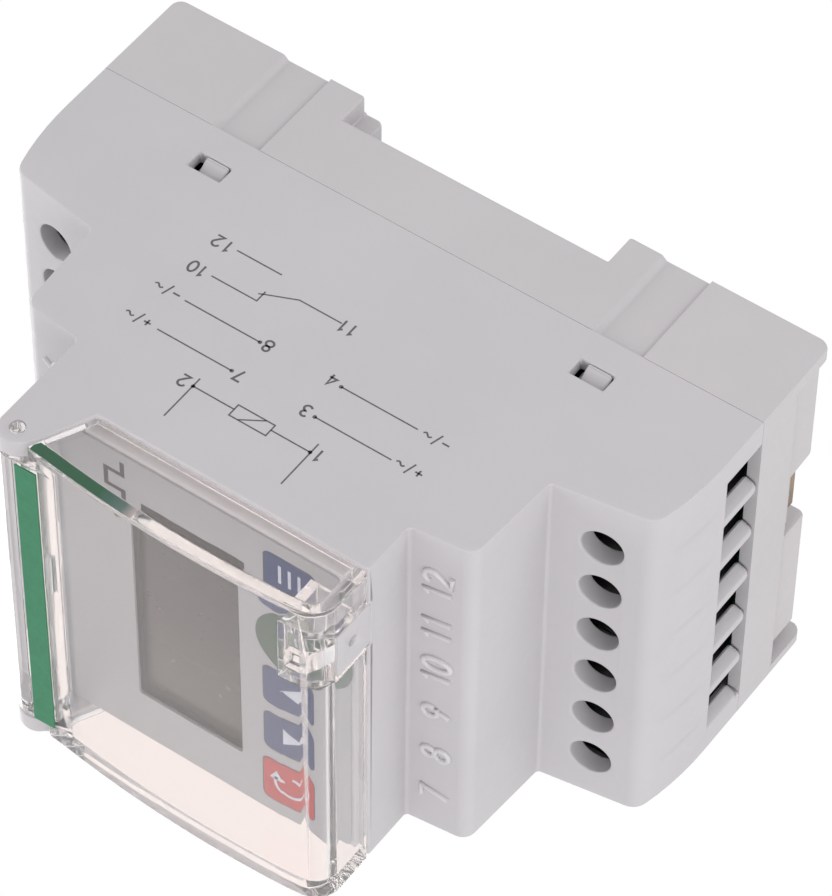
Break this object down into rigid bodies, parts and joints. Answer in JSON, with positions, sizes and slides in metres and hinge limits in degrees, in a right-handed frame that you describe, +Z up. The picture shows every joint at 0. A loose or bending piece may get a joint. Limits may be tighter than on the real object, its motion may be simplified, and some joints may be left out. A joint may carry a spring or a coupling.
{
  "type": "rail-mounted pulse counter",
  "caption": "Rail-mounted digital pulse counter: stepped grey housing, screw terminal rows at both ends, display and printed keys under a clear hinged cover, sprung rail clip.",
  "frame": {"origin": "middle of the rail seat: centre of the floor of the rail channel", "axes": "+X to the right seen from the front (along the rail), +Y towards the rail and wall, +Z up; the front faces -Y"},
  "size_m": [0.0524, 0.0646, 0.09],
  "materials": {
    "housing_grey": "fine matt moulded",
    "clip_grey": "fine matt moulded",
    "clear_plastic": "clear moulded",
    "strip_green": "satin film",
    "film_print": "satin printed film",
    "display_glass": "smooth",
    "white_plastic": "smooth",
    "circuit_board": "lacquered",
    "steel": "plated",
    "black_plastic": "moulded",
    "blue_plastic": "moulded",
    "yellow_coil": "taped",
    "tinned_brass": "tinned",
    "bronze": "rolled strip"
  },
  "bodies": {
    "housing": {"base_housing": "housing_grey", "body_shell": "housing_grey", "front_foil": "film_print", "lcd_glass": "display_glass", "lcd_holder": "white_plastic", "display_board": "circuit_board", "board_screws": "steel", "tact_switches": "black_plastic", "microcontroller": "black_plastic", "riser_board": "circuit_board", "riser_headers": "black_plastic", "main_board": "circuit_board", "relay": "blue_plastic", "transformer": "yellow_coil", "electrolytic_capacitors": "black_plastic", "film_capacitor": "yellow_coil", "varistor": "blue_plastic", "optocouplers": "white_plastic", "terminal_block_ul": "black_plastic", "terminal_block_ur": "black_plastic", "terminal_block_ll": "black_plastic", "terminal_block_lr": "black_plastic", "contact_bars": "tinned_brass", "clip_spring": "bronze"},
    "cover": {"front_cover": "clear_plastic", "cover_strip": "strip_green"},
    "clip": {"rail_clip": "clip_grey"},
    "key_reset": {"plunger_reset": "white_plastic"},
    "key_down": {"plunger_down": "white_plastic"},
    "key_up": {"plunger_up": "white_plastic"},
    "key_ok": {"plunger_ok": "white_plastic"},
    "key_menu": {"plunger_menu": "white_plastic"},
    "term_screw_1": {"screw_1": "steel"},
    "term_cage_1": {"cage_1": "steel"},
    "term_screw_2": {"screw_2": "steel"},
    "term_cage_2": {"cage_2": "steel"},
    "term_screw_3": {"screw_3": "steel"},
    "term_cage_3": {"cage_3": "steel"},
    "term_screw_4": {"screw_4": "steel"},
    "term_cage_4": {"cage_4": "steel"},
    "term_screw_5": {"screw_5": "steel"},
    "term_cage_5": {"cage_5": "steel"},
    "term_screw_6": {"screw_6": "steel"},
    "term_cage_6": {"cage_6": "steel"},
    "term_screw_7": {"screw_7": "steel"},
    "term_cage_7": {"cage_7": "steel"},
    "term_screw_8": {"screw_8": "steel"},
    "term_cage_8": {"cage_8": "steel"},
    "term_screw_9": {"screw_9": "steel"},
    "term_cage_9": {"cage_9": "steel"},
    "term_screw_10": {"screw_10": "steel"},
    "term_cage_10": {"cage_10": "steel"},
    "term_screw_11": {"screw_11": "steel"},
    "term_cage_11": {"cage_11": "steel"},
    "term_screw_12": {"screw_12": "steel"},
    "term_cage_12": {"cage_12": "steel"}
  },
  "joints": [
    {"name": "cover_hinge", "type": "hinge", "parent": "housing", "child": "cover", "pos_m": [0, -0.05708, 0.01993], "axis": [-1, 0, 0], "range_deg": [0, 110]},
    {"name": "clip_slide", "type": "slide", "parent": "housing", "child": "clip", "axis": [0, 0, -1], "range_m": [0, 0.004], "stiffness_N_per_m": 600, "springref_m": -0.004, "deforming": ["clip_spring"]},
    {"name": "press_reset", "type": "slide", "parent": "housing", "child": "key_reset", "axis": [0, 1, 0], "range_m": [0, 0.00025], "stiffness_N_per_m": 2000, "springref_m": -0.0001},
    {"name": "press_down", "type": "slide", "parent": "housing", "child": "key_down", "axis": [0, 1, 0], "range_m": [0, 0.00025], "stiffness_N_per_m": 2000, "springref_m": -0.0001},
    {"name": "press_up", "type": "slide", "parent": "housing", "child": "key_up", "axis": [0, 1, 0], "range_m": [0, 0.00025], "stiffness_N_per_m": 2000, "springref_m": -0.0001},
    {"name": "press_ok", "type": "slide", "parent": "housing", "child": "key_ok", "axis": [0, 1, 0], "range_m": [0, 0.00025], "stiffness_N_per_m": 2000, "springref_m": -0.0001},
    {"name": "press_menu", "type": "slide", "parent": "housing", "child": "key_menu", "axis": [0, 1, 0], "range_m": [0, 0.00025], "stiffness_N_per_m": 2000, "springref_m": -0.0001},
    {"name": "screw_turn_1", "type": "hinge", "parent": "housing", "child": "term_screw_1", "pos_m": [-0.01955, -0.02, 0.03735], "axis": [0, 1, 0], "range_deg": [0, 2165]},
    {"name": "cage_rise_1", "type": "slide", "parent": "housing", "child": "term_cage_1", "axis": [0, -1, 0], "range_m": [0, 0.003]},
    {"name": "screw_turn_2", "type": "hinge", "parent": "housing", "child": "term_screw_2", "pos_m": [-0.01193, -0.02, 0.03735], "axis": [0, 1, 0], "range_deg": [0, 2165]},
    {"name": "cage_rise_2", "type": "slide", "parent": "housing", "child": "term_cage_2", "axis": [0, -1, 0], "range_m": [0, 0.003]},
    {"name": "screw_turn_3", "type": "hinge", "parent": "housing", "child": "term_screw_3", "pos_m": [-0.00431, -0.02, 0.03735], "axis": [0, 1, 0], "range_deg": [0, 2165]},
    {"name": "cage_rise_3", "type": "slide", "parent": "housing", "child": "term_cage_3", "axis": [0, -1, 0], "range_m": [0, 0.003]},
    {"name": "screw_turn_4", "type": "hinge", "parent": "housing", "child": "term_screw_4", "pos_m": [0.00331, -0.02, 0.03735], "axis": [0, 1, 0], "range_deg": [0, 2165]},
    {"name": "cage_rise_4", "type": "slide", "parent": "housing", "child": "term_cage_4", "axis": [0, -1, 0], "range_m": [0, 0.003]},
    {"name": "screw_turn_5", "type": "hinge", "parent": "housing", "child": "term_screw_5", "pos_m": [0.01093, -0.02, 0.03735], "axis": [0, 1, 0], "range_deg": [0, 2165]},
    {"name": "cage_rise_5", "type": "slide", "parent": "housing", "child": "term_cage_5", "axis": [0, -1, 0], "range_m": [0, 0.003]},
    {"name": "screw_turn_6", "type": "hinge", "parent": "housing", "child": "term_screw_6", "pos_m": [0.01855, -0.02, 0.03735], "axis": [0, 1, 0], "range_deg": [0, 2165]},
    {"name": "cage_rise_6", "type": "slide", "parent": "housing", "child": "term_cage_6", "axis": [0, -1, 0], "range_m": [0, 0.003]},
    {"name": "screw_turn_7", "type": "hinge", "parent": "housing", "child": "term_screw_7", "pos_m": [-0.01955, -0.02, -0.03735], "axis": [0, 1, 0], "range_deg": [0, 2165]},
    {"name": "cage_rise_7", "type": "slide", "parent": "housing", "child": "term_cage_7", "axis": [0, -1, 0], "range_m": [0, 0.003]},
    {"name": "screw_turn_8", "type": "hinge", "parent": "housing", "child": "term_screw_8", "pos_m": [-0.01193, -0.02, -0.03735], "axis": [0, 1, 0], "range_deg": [0, 2165]},
    {"name": "cage_rise_8", "type": "slide", "parent": "housing", "child": "term_cage_8", "axis": [0, -1, 0], "range_m": [0, 0.003]},
    {"name": "screw_turn_9", "type": "hinge", "parent": "housing", "child": "term_screw_9", "pos_m": [-0.00431, -0.02, -0.03735], "axis": [0, 1, 0], "range_deg": [0, 2165]},
    {"name": "cage_rise_9", "type": "slide", "parent": "housing", "child": "term_cage_9", "axis": [0, -1, 0], "range_m": [0, 0.003]},
    {"name": "screw_turn_10", "type": "hinge", "parent": "housing", "child": "term_screw_10", "pos_m": [0.00331, -0.02, -0.03735], "axis": [0, 1, 0], "range_deg": [0, 2165]},
    {"name": "cage_rise_10", "type": "slide", "parent": "housing", "child": "term_cage_10", "axis": [0, -1, 0], "range_m": [0, 0.003]},
    {"name": "screw_turn_11", "type": "hinge", "parent": "housing", "child": "term_screw_11", "pos_m": [0.01093, -0.02, -0.03735], "axis": [0, 1, 0], "range_deg": [0, 2165]},
    {"name": "cage_rise_11", "type": "slide", "parent": "housing", "child": "term_cage_11", "axis": [0, -1, 0], "range_m": [0, 0.003]},
    {"name": "screw_turn_12", "type": "hinge", "parent": "housing", "child": "term_screw_12", "pos_m": [0.01855, -0.02, -0.03735], "axis": [0, 1, 0], "range_deg": [0, 2165]},
    {"name": "cage_rise_12", "type": "slide", "parent": "housing", "child": "term_cage_12", "axis": [0, -1, 0], "range_m": [0, 0.003]}
  ],
  "couplings": [
    {"joint": "screw_turn_1", "follows": "cage_rise_1", "rad_per_m": 12566},
    {"joint": "screw_turn_2", "follows": "cage_rise_2", "rad_per_m": 12566},
    {"joint": "screw_turn_3", "follows": "cage_rise_3", "rad_per_m": 12566},
    {"joint": "screw_turn_4", "follows": "cage_rise_4", "rad_per_m": 12566},
    {"joint": "screw_turn_5", "follows": "cage_rise_5", "rad_per_m": 12566},
    {"joint": "screw_turn_6", "follows": "cage_rise_6", "rad_per_m": 12566},
    {"joint": "screw_turn_7", "follows": "cage_rise_7", "rad_per_m": 12566},
    {"joint": "screw_turn_8", "follows": "cage_rise_8", "rad_per_m": 12566},
    {"joint": "screw_turn_9", "follows": "cage_rise_9", "rad_per_m": 12566},
    {"joint": "screw_turn_10", "follows": "cage_rise_10", "rad_per_m": 12566},
    {"joint": "screw_turn_11", "follows": "cage_rise_11", "rad_per_m": 12566},
    {"joint": "screw_turn_12", "follows": "cage_rise_12", "rad_per_m": 12566}
  ]
}
